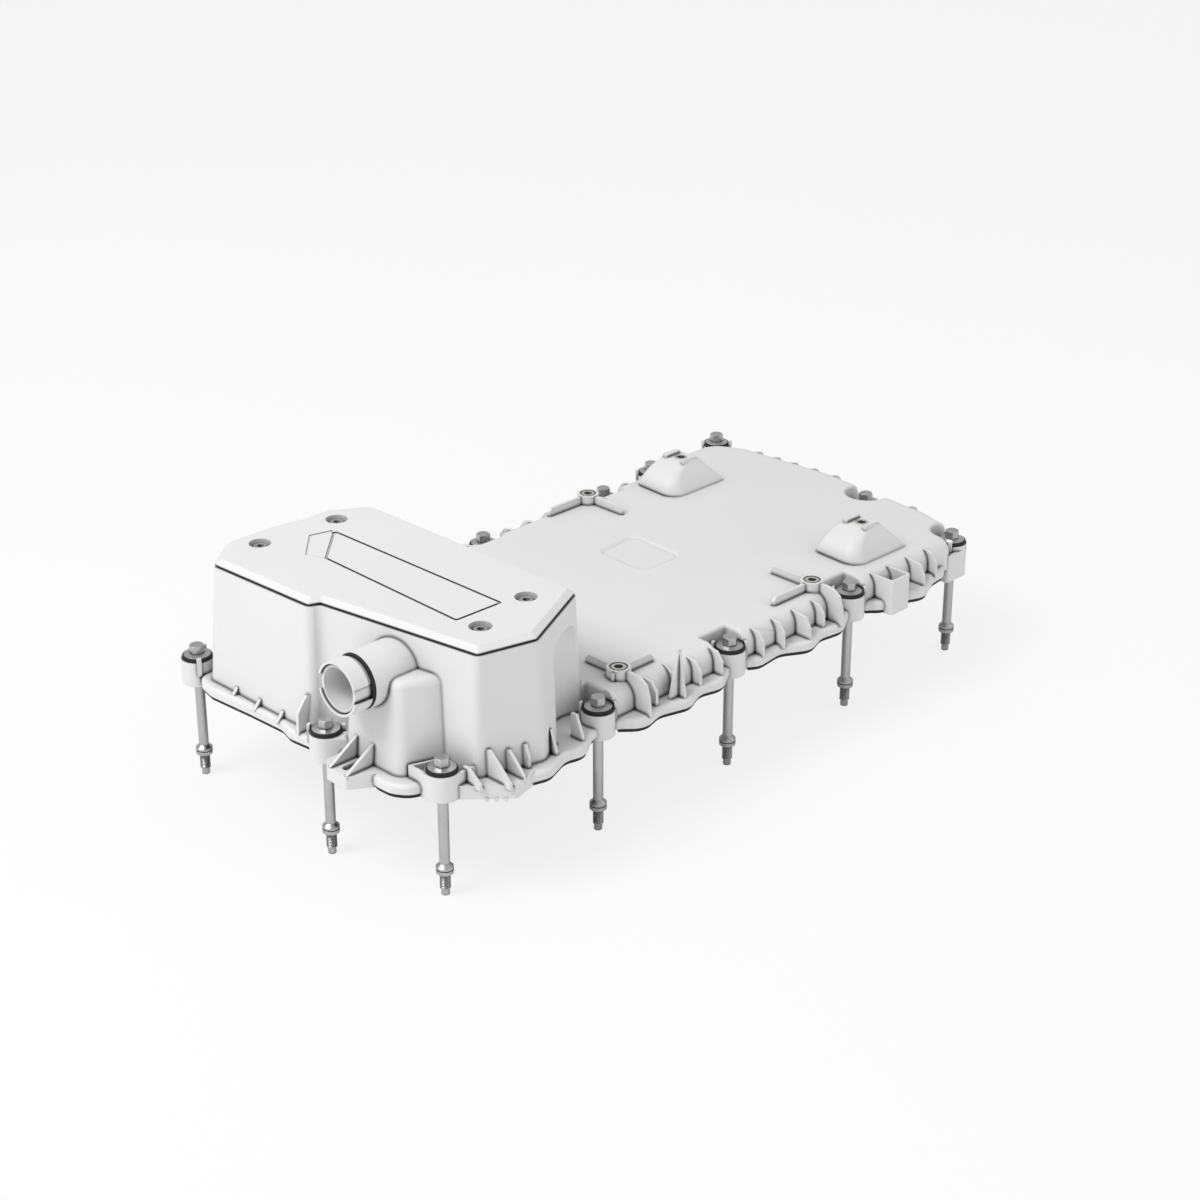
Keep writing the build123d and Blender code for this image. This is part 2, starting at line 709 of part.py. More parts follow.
def round_bosses():
    """Four ribbed bosses on the dome, with the fins that brace the near pair."""
    near, tip = round_boss_radius + 1.0, round_boss_radius + tongue_reach
    tongue = [(0, tongue_low), (near, tongue_low), (tip, tongue_low + 2.0)]
    tongue += [(near + 0.2, tongue_top), (0, tongue_top)]
    parts = []
    for x, inward_x, lengths in zip(round_boss_x, (0, 180), arm_lengths):
        for y, inward_y in zip(round_boss_y, (90, -90)):
            boss = cylinder(0, 0, dome_top - 2.0, round_boss_top, round_boss_radius)
            boss += Rot(0, 0, inward_x + tongue_angle) * plate_along_x(0, tongue, rib_thickness)
            boss += arm(0, lengths[0], round_boss_top - arm_drop, inward_x)
            boss += arm(0, lengths[1], round_boss_top - arm_drop, inward_y)
            parts.append(Pos(x, y, 0) * boss)
    top = round_boss_top - 0.5
    fin = [(3.0, 9.0), (-33.0, 9.0), (-31.5, 23.0), (-28.5, 33.0)]
    fin += [(-22.0, top - 0.5), (-14.0, top), (3.0, top)]
    profile = [(round_boss_near_y + y, z) for y, z in fin]
    for x in round_boss_x:
        parts.append(plate_along_y(x, profile, rib_thickness))
        parts.append(Pos(x, round_boss_near_y, 0) * boss_bell())
    return parts


def block_section(z, thickness=0):
    """Outline of a block boss at one height: three straight slopes and a bulging left side."""
    share = max(0, (z - dome_top) / (block_boss_top - dome_top))
    left = -block_foot_left + (block_foot_left - block_head_left) * share ** block_bulge
    right = block_foot_right - block_right_slope * share
    near, far = -block_foot_near + block_side_slope * share, block_foot_far - block_side_slope * share
    outline = [(left, near), (right, near), (right, far), (left + 3.0 * (1 - share), far)]
    corners = [13.0 - 7.0 * share, 2.5, 2.5, 6.0 - 3.0 * share]
    return Pos(0, 0, z) * rounded(inset(outline, thickness), corners)


def block_bosses():
    """Two tapered blocks that carry an engine bracket, each with two locating rails."""
    block = loft([block_section(z) for z in (dome_top, *block_levels, block_boss_top)])
    block += extrude(block_section(dome_top), amount=-1.0)
    for y, width in (near_rail, far_rail):
        block += Pos(-2.0, y, block_boss_top - 0.6) * Box(rail_length, width, 2 * (rail_height + 0.6))
    return [Pos(block_boss_x, y, 0) * block for y in block_boss_y]


def block_rooms():
    """Hollow inside each block boss, around the insert's own post."""
    levels = [dome_top - wall - 1.0, block_room_level, block_boss_top - wall]
    room = loft([block_section(z, wall) for z in levels], ruled=True)
    return [Pos(block_boss_x, y, 0) * room for y in block_boss_y]


def dome_dimple():
    """Shallow four-sided recess in the top of the dome."""
    corners = [(177.0, 125.5), (223.0, 126.0), (226.0, 186.0), (178.0, 181.0)]
    floor = rounded(inset(corners, dimple_slope), dimple_corner - dimple_slope)
    rim = Pos(0, 0, dome_top) * rounded(corners, dimple_corner)
    return loft([Pos(0, 0, dome_top - dimple_depth) * floor, rim], ruled=True)


def low_room():
    """Opening in the flange below the dome and the housing, clear of the gasket at each bolt."""
    land = boss_radius + boss_clearance + gasket_width + 1.0
    housing_inside = inset(housing_section(room_bottom), wall)
    room = slab(rounded(inset(dome_corners, wall), dome_corner - wall), -1.0, room_bottom)
    room += slab(rounded(housing_inside, housing_corner - wall), -1.0, room_bottom)
    lands = dome_notches(wall, -2.0) + pocket_lands(pocket_radius + wall)
    return room - lands - [cylinder(x, y, -2.0, room_bottom + 1.0, land) for x, y in all_bolts]


def post(place, wall_way, reach):
    """Screw post for the lid and the tray, tied to the wall by a web."""
    x, y = place
    bar = cylinder(x, y, post_bottom, post_top, post_radius)
    heading = degrees(atan2(wall_way[1], wall_way[0]))
    web = Pos(reach / 2, 0, (ledge_bottom + web_top) / 2) * Box(reach, post_web, web_top - ledge_bottom)
    return bar + Pos(x, y, 0) * Rot(0, 0, heading) * web


def screw_posts():
    """The four posts, each with its own wall to stand against."""
    ways = [(0, 1), (0, 1), (0.44, -0.9), (0, -1)]
    return [post(place, way, 40.0) for place, way in zip(lid_screws_at, ways)]


def ledge():
    """Step round the inside of the housing that the tray's seal closes on."""
    top = ledge_bottom + ledge_thickness
    outer = rounded(inset(housing_section(ledge_bottom), wall / 2), housing_corner)
    inner = rounded(inset(housing_section(ledge_bottom), wall + ledge_width), 2.0)
    opening = slab(inner, ledge_bottom - 1.0, top + 1.0) - trough(trough_radius + wall + ledge_width)
    return slab(outer, ledge_bottom, top) - trough(trough_radius + wall / 2) - opening


def insert_holes():
    """Blind holes for every threaded insert, with clearance below for the screw's end."""
    holes = []
    low = post_top - lid_insert_length
    for x, y in lid_screws_at:
        holes.append(cylinder(x, y, low, post_top + 1.0, lid_insert_radius))
        holes.append(cylinder(x, y, low - 6.0, post_top, lid_screw_radius + fit_gap))
        holes.append(cylinder(x, y, post_bottom - 1.0, post_bottom + tray_screw_length, tray_screw_radius))
    low, high = round_boss_top - insert_length, round_boss_top + 1.0
    for x in round_boss_x:
        for y in round_boss_y:
            holes.append(cylinder(x, y, low, high, insert_radius))
            holes.append(cylinder(x, y, round_boss_top - recess_depth, high, round_boss_recess))
    low, high = block_boss_top - insert_length, block_boss_top + 9.0
    for y in block_boss_y:
        holes.append(cylinder(block_boss_x, y, low, high, insert_radius))
    return holes


def insert_posts():
    """Material below the dome around each bracket insert."""
    posts = []
    radius = insert_radius + wall
    low = round_boss_top - insert_length - wall
    for x in round_boss_x:
        posts += [cylinder(x, y, low, dome_top - 1.0, radius) for y in round_boss_y]
    low = block_boss_top - insert_length - wall
    return posts + [cylinder(block_boss_x, y, low, block_boss_top - 1.0, radius) for y in block_boss_y]


def gasket_band(grow, low, high):
    """Closed band that follows the flange edge and passes inside every bolt."""
    near, far = gasket_inset - grow, gasket_inset + gasket_width + grow
    small, large = boss_radius + boss_clearance - grow, boss_radius + boss_clearance + gasket_width + grow
    outer = slab(rounded(inset(flange_corners, near), flange_wave_radius), low, high)
    outer -= [cylinder(x, y, low - 1.0, high + 1.0, small) for x, y in all_bolts]
    inner = slab(rounded(inset(flange_corners, far), flange_wave_radius), low - 1.0, high + 1.0)
    inner -= [cylinder(x, y, low - 2.0, high + 2.0, large) for x, y in all_bolts]
    return outer - inner


def on_notch_rim(edge):
    """Whether an edge is where a notch breaks out through the dome's surface."""
    middle = edge @ 0.5
    if middle.Z < flange_top + 1.0:
        return False
    upright = abs((edge % 0.5).Z) > 0.99
    corner = notch_corner + 0.05
    for bolts, outward in ((near_bolts[2:], -1), (far_bolts, 1)):
        for x, y in bolts:
            depth = -outward * (middle.Y - y)
            at_side = min(abs(middle.X - x + notch_left), abs(middle.X - x - notch_right)) < 0.05
            if at_side and depth < notch_depth - corner:
                return True
            across = -notch_left - 0.05 < middle.X - x < notch_right + 0.05
            if across and not upright and abs(depth - notch_depth) < corner:
                return True
    reach = middle.Y - trough_centre[1]
    if abs(middle.X - near_pocket_right) < 0.05:
        return reach < trough_radius - corner
    across = trough_centre[0] < middle.X < near_pocket_right
    return across and abs(reach - trough_radius) < corner and not upright


def on_pocket_rim(edge):
    """Whether an edge is where a round pocket breaks out through the dome's surface."""
    middle = edge @ 0.5
    if middle.Z < flange_top + 1.0:
        return False
    spread = pocket_radius + (middle.Z - flange_top) * tan(radians(draft_angle))
    return any(abs(hypot(middle.X - x, middle.Y - y) - spread) < 0.05 for x, y in pocket_bolts)


def cover_shell():
    """The whole moulding."""
    flange = slab(rounded(flange_corners, flange_wave_radius), flange_bottom, flange_top)
    flange = fillet(flange.edges().group_by(Axis.Z)[-1], flange_edge_radius)
    low_cover = dome(0, flange_bottom + 1.0) - dome_pockets(pocket_radius) - dome_notches(0, flange_top)
    low_cover = fillet(low_cover.edges().filter_by(on_pocket_rim), pocket_edge_radius)
    low_cover = fillet(low_cover.edges().filter_by(on_notch_rim), notch_edge_radius)
    tower = housing(0, flange_top, rim_z) - trough(trough_radius)
    extras = lug() + corner_pad() + pocket_block() + squared_boss()
    under_flange = rounded(inset(flange_corners, 1.5), flange_wave_radius)
    extras -= slab(under_flange, below_all, flange_bottom)
    cover = low_cover + flange + tower + column(0) + port_outside() + extras
    cover += edge_ribs() + housing_ribs() + round_bosses() + block_bosses() + [spire()]
    for place in all_bolts:
        cover += bolt_boss(place)
    cover += boss_skirts()
    room = dome(wall, room_bottom) - dome_notches(wall, 0)
    room -= dome_pockets(pocket_radius + wall) + pocket_lands(pocket_radius + wall)
    tower_room = housing(wall, room_bottom, rim_z - rim_depth) - trough(trough_radius + wall)
    mouth = slab(rounded(inset(housing_rim, rim_width), 2.0), rim_z - rim_depth - 1.0, rim_z + 1.0)
    cover -= [room, tower_room, mouth, low_room(), column(wall)] + block_rooms()
    envelope = housing(wall / 2, flange_top, rim_z) - trough(trough_radius + wall / 2)
    cover += [stand & envelope for stand in screw_posts()]
    cover += ledge()
    cover += insert_posts()
    cover -= boss_holes() + insert_holes()
    cover -= along_port(port_mouth_x - 1.0, port_bore_end, port_bore_radius)
    cover -= gasket_band(0, flange_bottom - 4.0, gasket_height)
    return cover - dome_dimple()


# ---------------------------------------------------------------- lid and its fasteners
badge_corners = [(-54.0, 226.0), (-51.9, 42.3), (-95.4, 43.2), (-92.0, 190.0)]
ramp_corners = [(-73.0, 231.0), (-54.0, 226.0), (-92.0, 190.0), (-97.7, 205.0)]


def breather_lid():
    """Lid plate with a bevelled border, screw cups, a locating lip and a bare name plate."""
    edge = rounded(inset(housing_rim, lid_edge_inset), 2.5)
    top = rounded(inset(housing_rim, lid_edge_inset + lid_bevel), 2.5)
    straight = lid_bottom + 0.8
    bevel = loft([Pos(0, 0, straight) * edge, Pos(0, 0, lid_top) * top], ruled=True)
    lid = slab(edge, lid_bottom, straight) + bevel
    lip_low = rim_z - rim_depth
    lip_inset = rim_width + lip_gap
    lip = slab(rounded(inset(housing_rim, lip_inset), 2.0), lip_low, lid_bottom)
    lip -= slab(rounded(inset(housing_rim, lip_inset + lip_wall), 2.0), lip_low - 1.0, lid_bottom)
    lid += lip
    for x, y in lid_screws_at:
        lid += cylinder(x, y, lid_cup_bottom, lid_bottom, screw_recess_radius + cup_wall)
        lid -= cylinder(x, y, lid_top - screw_recess_depth, lid_top + 1.0, screw_recess_radius)
        lid -= cylinder(x, y, lid_cup_bottom - 1.0, lid_top, lid_screw_radius + 0.4)
    lid -= slab(rounded(badge_corners, 2.5), lid_top - badge_depth, lid_top + 1.0)
    lid -= slab(rounded(ramp_corners, 1.5), lid_top - badge_depth / 2, lid_top + 1.0)
    return lid + slab(rounded(inset(badge_corners, badge_border), 1.5), lid_top - badge_depth, lid_top)


def lid_seal():
    """Flat seal between the housing's rim and the lid."""
    outer = slab(rounded(inset(housing_rim, lid_edge_inset + 0.2), 2.5), rim_z, lid_bottom)
    return outer - slab(rounded(inset(housing_rim, rim_width - 0.4), 2.0), rim_z - 1.0, lid_bottom + 1.0)


def lid_screws():
    """Cheese-head screws with hexagon sockets."""
    seat = lid_top - screw_recess_depth
    screws = []
    for x, y in lid_screws_at:
        screw = cylinder(x, y, seat, seat + screw_head_height, screw_head_radius)
        screw += cylinder(x, y, seat - lid_screw_length, seat, lid_screw_radius)
        hexagon = Pos(x, y, 0) * RegularPolygon(screw_socket_across / 2, 6, major_radius=False)
        top = seat + screw_head_height
        screws.append(screw - slab(hexagon, top - screw_socket_depth, top + 1.0))
    return screws


def sleeve(x, y, low, high, outer, inner):
    """Plain tube between two heights."""
    return cylinder(x, y, low, high, outer) - cylinder(x, y, low - 1.0, high + 1.0, inner)


def lid_inserts():
    """Threaded inserts in the lid posts."""
    low, bore = post_top - lid_insert_length, lid_screw_radius + fit_gap / 2
    return [sleeve(x, y, low, post_top, lid_insert_radius, bore) for x, y in lid_screws_at]


def boss_inserts():
    """Threaded inserts in the round bosses."""
    places = [(x, y) for x in round_boss_x for y in round_boss_y]
    low = round_boss_top - insert_length
    return [sleeve(x, y, low, round_boss_top, insert_radius, insert_bore) for x, y in places]


def bracket_inserts():
    """Threaded inserts in the block bosses."""
    low = block_boss_top - insert_length
    return [sleeve(block_boss_x, y, low, block_boss_top, insert_radius, insert_bore) for y in block_boss_y]


# ---------------------------------------------------------------- bolts, isolators, gasket
def turned(profile):
    """Solid of revolution about Z from (radius, z) corners."""
    face = make_face(Polyline(*[(r, 0, z) for r, z in profile], close=True))
    return revolve(face, Axis.Z)


def cover_bolt():
    """Hex flange bolt with a collar, a threaded end and a dog point."""
    flange_z = bolt_head_top - hex_height
    tip = bolt_head_top - bolt_length
    profile = [
        (0, flange_z), (hex_across_flats / 2, flange_z), (bolt_flange_radius, bolt_seat + flange_rim),
        (bolt_flange_radius, bolt_seat), (shank_radius, bolt_seat), (shank_radius, collar_top),
        (collar_radius, collar_top - collar_slope), (collar_radius, collar_bottom),
        (thread_radius, collar_bottom), (thread_radius, tip + dog_length + 1.0),
        (dog_radius, tip + dog_length), (dog_radius, tip), (0, tip),
    ]
    hexagon = Rot(0, 0, hex_turn) * RegularPolygon(hex_across_flats / 2, 6, major_radius=False)
    return turned(profile) + slab(hexagon, flange_z - 0.5, bolt_head_top)


def at_bolts(solid):
    """One copy of a solid on every bolt axis."""
    return [Pos(x, y, 0) * solid for x, y in all_bolts]


def bolt_grommet():
    """Rubber isolator: a flat collar on a tube that fills the boss."""
    bore, tube = limiter_bore + limiter_wall, limiter_bore + limiter_wall + rubber_wall
    seat = boss_top - rubber_wall
    collar = [(tube, seat), (grommet_radius, seat), (grommet_radius, bolt_seat), (bore, bolt_seat)]
    return turned([(bore, 1.0), (tube, 1.0)] + collar)


def bolt_limiter():
    """Steel tube that stops the bolt from crushing the isolator."""
    return sleeve(0, 0, 0, bolt_seat, limiter_bore + limiter_wall, limiter_bore)


def port_seal():
    """Black sealing ring in the groove of the outlet port."""
    start = port_seal_x - port_seal_width
    ring = along_port(start, port_seal_x, port_root_radius - 0.6)
    return ring - along_port(start - 1.0, port_seal_x + 1.0, port_spigot_radius)


# ---------------------------------------------------------------- oil separator
tray_top = tray_z + tray_thickness


def separator_tray():
    """Floor plate of the breather chamber, with seats for the filter, regulator and drain."""
    tray = slab(rounded(inset(housing_section(tray_top), wall + fit_gap * 3), 4.0), tray_z, tray_top)
    tray -= trough(trough_radius + wall + fit_gap * 3)
    for x, y in lid_screws_at:
        tray -= cylinder(x, y, tray_z - 1.0, tray_top + 1.0, tray_screw_radius + 0.3)
    x, y = filter_centre
    tray += cylinder(x, y, tray_top, filter_low, neck_radius + 3.0)
    tray -= cylinder(x, y, tray_z - 1.0, filter_low + 1.0, neck_radius)
    x, y = regulator_centre
    tray += cylinder(x, y, tray_top, regulator_z, seat_radius + wall)
    tray -= cylinder(x, y, tray_z - 1.0, regulator_z + 1.0, seat_radius)
    x, y = drain_centre
    return tray - cylinder(x, y, tray_z - 1.0, tray_top + 1.0, drain_radius)


def tray_seal():
    """Flat seal between the tray and the ledge."""
    outer = rounded(inset(housing_section(tray_top + seal_thickness), wall + fit_gap * 5), 4.0)
    inner = rounded(inset(housing_section(tray_top + seal_thickness), wall + ledge_width), 2.0)
    opening = slab(inner, tray_top - 1.0, tray_top + 3.0) - trough(trough_radius + wall + ledge_width)
    band = slab(outer, tray_top, tray_top + seal_thickness) - opening
    return band - trough(trough_radius + wall + fit_gap * 5)


def tray_screws():
    """Pan-head screws that pull the tray up against the posts."""
    screws = []
    for x, y in lid_screws_at:
        head = cylinder(x, y, tray_z - tray_screw_head_height, tray_z, tray_screw_head_radius)
        tip = tray_top + tray_screw_length - 2.0
        screws.append(head + cylinder(x, y, tray_z, tip, tray_screw_radius))
    return screws


def filter_neck_seal():
    """Square-section ring between the element's neck and the tray's socket."""
    top = neck_seal_z + neck_seal_width
    return sleeve(*filter_centre, neck_seal_z, top, neck_radius, neck_radius - neck_seal_width)


def filter_bottom_cap():
    """Lower end cap with the neck that plugs into the tray."""
    x, y = filter_centre
    top, tip = filter_low + filter_cap, filter_low - filter_neck_length
    cap = cylinder(x, y, filter_low, top, filter_radius + filter_cap_overhang)
    cap += cylinder(x, y, tip, filter_low, neck_radius - 3 * fit_gap)
    cap -= cylinder(x, y, tip - 1.0, top + 1.0, filter_neck_bore)
    return cap - filter_neck_seal()


def filter_media():
    """Coalescing fleece wound into a thick tube."""
    low = filter_low + filter_cap
    return sleeve(*filter_centre, low, low + filter_height, filter_radius, filter_bore)


def filter_core():
    """Support tube inside the fleece, with rows of square windows."""
    x, y = filter_centre
    low = filter_low + filter_cap
    core = sleeve(x, y, low, low + filter_height, filter_bore, filter_bore - core_wall)
    window = Box(4 * filter_bore, core_window, core_window)
    for row in range(2):
        for turn in range(4):
            height = low + filter_height * (row + 1) / 3
            core -= Pos(x, y, height) * Rot(0, 0, turn * 45) * window
    return core


def filter_top_cap():
    """Closed upper end cap."""
    low = filter_low + filter_cap + filter_height
    return cylinder(*filter_centre, low, low + filter_cap, filter_radius + filter_cap_overhang)


def regulator_plate():
    """Stiff disc under the diaphragm that closes the seat tube."""
    return cylinder(*regulator_centre, diaphragm_z - plate_thickness, diaphragm_z, regulator_plate_radius)


def regulator_diaphragm():
    """Rubber disc with one raised convolution, held between the carrier and the cap."""
    low = diaphragm_z
    high = low + diaphragm_thickness
    roll = regulator_radius - 2 * diaphragm_roll
    start, end = roll - 2.0, roll + 2.0
    profile = [
        (0, low), (start, low), (roll, low + diaphragm_roll), (end, low), (regulator_radius, low),
        (regulator_radius, high), (end, high), (roll, high + diaphragm_roll), (start, high), (0, high),
    ]
    return Pos(*regulator_centre, 0) * turned(profile)


def regulator_cap():
    """Vented cap that clamps the diaphragm's edge and holds the spring."""
    x, y = regulator_centre
    low = diaphragm_z + diaphragm_thickness
    top = low + regulator_cap_height
    cap = cylinder(x, y, low, top, regulator_radius)
    cap -= cylinder(x, y, low - 1.0, top - regulator_cap_wall, regulator_radius - regulator_cap_wall)
    return cap - cylinder(x, y, low, top + 1.0, regulator_vent_radius)


def regulator_carrier():
    """Open ring of legs that holds the diaphragm over the seat tube."""
    x, y = regulator_centre
    ring = sleeve(x, y, tray_top, diaphragm_z, regulator_radius, regulator_radius - carrier_wall)
    middle = (tray_top + diaphragm_z) / 2
    gap = Box(4 * regulator_radius, carrier_gap, diaphragm_z - tray_top - 6.0)
    for turn in (0, 60, 120):
        ring -= Pos(x, y, middle) * Rot(0, 0, turn) * gap
    return ring


def regulator_spring():
    """Square-wire compression spring between the diaphragm and the cap."""
    x, y = regulator_centre
    height = regulator_cap_height - regulator_cap_wall - 1.5 * spring_wire
    steps = spring_turns * spring_steps
    points = []
    for i in range(steps + 1):
        turn = 2 * pi * i / spring_steps
        points.append((spring_radius * cos(turn), spring_radius * sin(turn), height * i / steps))
    path = Polyline(*points)
    section = Plane(origin=path @ 0, z_dir=path % 0) * Rectangle(spring_wire, spring_wire)
    low = diaphragm_z + diaphragm_thickness + 0.75 * spring_wire
    return Pos(x, y, low) * sweep(section, path, transition=Transition.RIGHT)


def drain_valve():
    """Rubber umbrella valve that lets collected oil drip back."""
    x, y = drain_centre
    skirt, stem = drain_radius + drain_skirt, drain_radius / 2
    profile = [
        (0, tray_z - drain_lip), (skirt, tray_z - drain_lip), (skirt, tray_z), (stem, tray_z),
        (stem, tray_top), (drain_radius + 0.6, tray_top), (0, tray_top + 4.0),
    ]
    return Pos(x, y, 0) * turned(profile)


# ---------------------------------------------------------------- output
def pieces():
    """Every sub-part by name; a list holds separate like pieces."""
    return {
        "cover_shell": cover_shell(),
        "breather_lid": breather_lid(),
        "lid_seal": lid_seal(),
        "lid_screws": lid_screws(),
        "lid_inserts": lid_inserts(),
        "boss_inserts": boss_inserts(),
        "bracket_inserts": bracket_inserts(),
        "cover_gasket": gasket_band(-gasket_gap, 0, gasket_height),
        "cover_bolts": at_bolts(cover_bolt()),
        "bolt_grommets": at_bolts(bolt_grommet()),
        "bolt_limiters": at_bolts(bolt_limiter()),
        "port_seal": port_seal(),
        "separator_tray": separator_tray(),
        "tray_seal": tray_seal(),
        "tray_screws": tray_screws(),
        "filter_bottom_cap": filter_bottom_cap(),
        "filter_neck_seal": filter_neck_seal(),
        "filter_media": filter_media(),
        "filter_core": filter_core(),
        "filter_top_cap": filter_top_cap(),
        "regulator_carrier": regulator_carrier(),
        "regulator_plate": regulator_plate(),
        "regulator_diaphragm": regulator_diaphragm(),
        "regulator_spring": regulator_spring(),
        "regulator_cap": regulator_cap(),
        "drain_valve": drain_valve(),
    }


os.makedirs("parts", exist_ok=True)
for name, piece in pieces().items():
    copies = piece if isinstance(piece, list) else [piece]
    solids = [solid for copy in copies for solid in copy.solids()]
    export_step(Compound(label=name, children=solids), f"parts/{name}.step")
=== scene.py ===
# %% [markdown]
# # Engine valve cover
# This cover closes the top of a cylinder head.  It is one large plastic moulding with a tall
# breather housing, a screwed lid, an outlet port and captive bolts.  The CAD model already holds
# every shape at its true size, so Blender's job is the finish: grain, plating, rubber, threads,
# light and camera.  The first cell loads the model as a fixed frame and notes how large it is.

# %% Load the frame
import json
from math import cos, pi, radians, sin, tan

import bpy
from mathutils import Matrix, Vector


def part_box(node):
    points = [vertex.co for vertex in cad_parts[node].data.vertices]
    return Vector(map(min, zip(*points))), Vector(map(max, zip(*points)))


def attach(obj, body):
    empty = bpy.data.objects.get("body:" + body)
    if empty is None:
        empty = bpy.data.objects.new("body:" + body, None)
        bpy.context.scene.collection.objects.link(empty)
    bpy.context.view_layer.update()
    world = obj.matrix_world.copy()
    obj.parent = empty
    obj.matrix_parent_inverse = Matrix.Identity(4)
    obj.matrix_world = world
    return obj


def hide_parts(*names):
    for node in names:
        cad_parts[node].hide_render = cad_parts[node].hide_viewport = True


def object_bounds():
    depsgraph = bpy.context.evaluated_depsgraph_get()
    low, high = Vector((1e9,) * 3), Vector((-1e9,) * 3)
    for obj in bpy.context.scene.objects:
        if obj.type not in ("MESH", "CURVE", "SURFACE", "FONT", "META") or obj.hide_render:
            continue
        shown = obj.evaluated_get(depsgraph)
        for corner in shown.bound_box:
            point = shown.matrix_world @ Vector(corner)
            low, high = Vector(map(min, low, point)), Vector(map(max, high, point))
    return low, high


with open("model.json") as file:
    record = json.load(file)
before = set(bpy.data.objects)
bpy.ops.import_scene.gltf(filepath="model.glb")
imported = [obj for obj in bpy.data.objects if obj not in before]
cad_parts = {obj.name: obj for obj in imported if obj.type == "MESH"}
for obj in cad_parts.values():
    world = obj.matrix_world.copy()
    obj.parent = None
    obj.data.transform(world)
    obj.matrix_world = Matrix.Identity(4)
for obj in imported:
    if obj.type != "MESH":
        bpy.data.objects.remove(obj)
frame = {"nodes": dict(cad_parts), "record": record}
cad_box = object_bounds()
print("CAD box in metres:", cad_box)

# %% [markdown]
# ## Writing shader maths as plain sums
# A material is a graph of nodes, and long graphs are hard to read as a list of links.  The first
# class below wraps one output of a node, so that `mask * 0.3 + 0.2` adds the Math nodes by
# itself.  The second adds any other kind of node in one call, and the third starts a material.

# %% A socket that can be used in sums
class Field:
    """One number that varies over a surface."""

    def __init__(self, tree, socket):
        self.tree, self.socket = tree, socket

    def _math(self, operation, *values):
        node = self.tree.nodes.new("ShaderNodeMath")
        node.operation = operation
        for slot, value in zip(node.inputs, values):
            if isinstance(value, Field):
                self.tree.links.new(value.socket, slot)
            else:
                slot.default_value = value
        return Field(self.tree, node.outputs[0])

    def __add__(self, other):
        return self._math("ADD", self, other)

    def __sub__(self, other):
        return self._math("SUBTRACT", self, other)

    def __mul__(self, other):
        return self._math("MULTIPLY", self, other)

    def __rsub__(self, other):
        return self._math("SUBTRACT", other, self)

    def __truediv__(self, other):
        return self._math("DIVIDE", self, other)

    __radd__ = __add__
    __rmul__ = __mul__

    def past_whole(self):
        """What is left of the value above the whole number below it."""
        return self._math("FRACT", self)

    def without_sign(self):
        """The value's distance from zero."""
        return self._math("ABSOLUTE", self)

    def heading(self, x):
        """Angle of the point (x, self), in radians."""
        return self._math("ARCTAN2", self, x)

    def within(self, low, high):
        """The value, held between two limits."""
        return self._math("MINIMUM", self._math("MAXIMUM", self, low), high)


# %% A node graph under construction
def feed(tree, slot, value):
    """Links a field or a socket to a slot, or writes a plain value into it."""
    if isinstance(value, Field):
        value = value.socket
    if isinstance(value, bpy.types.NodeSocket):
        tree.links.new(value, slot)
    else:
        slot.default_value = value


class Graph:
    """A node tree with one method that adds any node."""

    def node(self, kind, settings=None, output=0, **sockets):
        """Adds a node: settings first, then the values or links of its sockets."""
        node = self.tree.nodes.new(kind)
        for name, value in (settings or {}).items():
            setattr(node, name, value)
        for name, value in sockets.items():
            feed(self.tree, node.inputs[name.replace("_", " ")], value)
        return Field(self.tree, node.outputs[output])


# %% A material under construction
class Finish(Graph):
    """A new material with its surface shader."""

    def __init__(self, name, metallic=0.0, specular=0.5):
        self.material = bpy.data.materials.new(name)
        self.material.use_nodes = True
        self.tree = self.material.node_tree
        self.surface = self.tree.nodes["Principled BSDF"]
        self.surface.inputs["Metallic"].default_value = metallic
        self.surface.inputs["Specular IOR Level"].default_value = specular
        self.place = self.node("ShaderNodeTexCoord", output="Object").socket

    def noise(self, scale, detail=3.0, stretch=None):
        """Cloudy pattern in object space, about one blob to every 1/scale metres."""
        place = self.place
        if stretch:
            place = self.node("ShaderNodeMapping", Vector=place, Scale=stretch).socket
        return self.node(
            "ShaderNodeTexNoise", output="Fac", Vector=place, Scale=scale, Detail=detail,
        )

    def blend(self, factor, first, second):
        """Mix of two colours."""
        node = self.tree.nodes.new("ShaderNodeMix")
        node.data_type = "RGBA"
        self.tree.links.new(factor.socket, node.inputs["Factor"])
        for slot, colour in ((node.inputs[6], first), (node.inputs[7], second)):
            feed(self.tree, slot, colour if isinstance(colour, Field) else (*colour, 1.0))
        return Field(self.tree, node.outputs[2])

    def soft_edge(self, radius):
        """Normals that turn evenly across every edge, as a small radius would."""
        return self.node("ShaderNodeBevel", {"samples": 6}, output="Normal", Radius=radius)

    def bump(self, height, strength, distance, edge_radius=0.0003):
        """Turns a height pattern into tilted normals, over softened edges."""
        normal = self.node(
            "ShaderNodeBump", output="Normal", Height=height, Strength=strength,
            Distance=distance, Normal=self.soft_edge(edge_radius),
        )
        feed(self.tree, self.surface.inputs["Normal"], normal)

    def set(self, **sockets):
        """Feeds the surface shader."""
        for name, value in sockets.items():
            feed(self.tree, self.surface.inputs[name.replace("_", " ")], value)
        return self.material
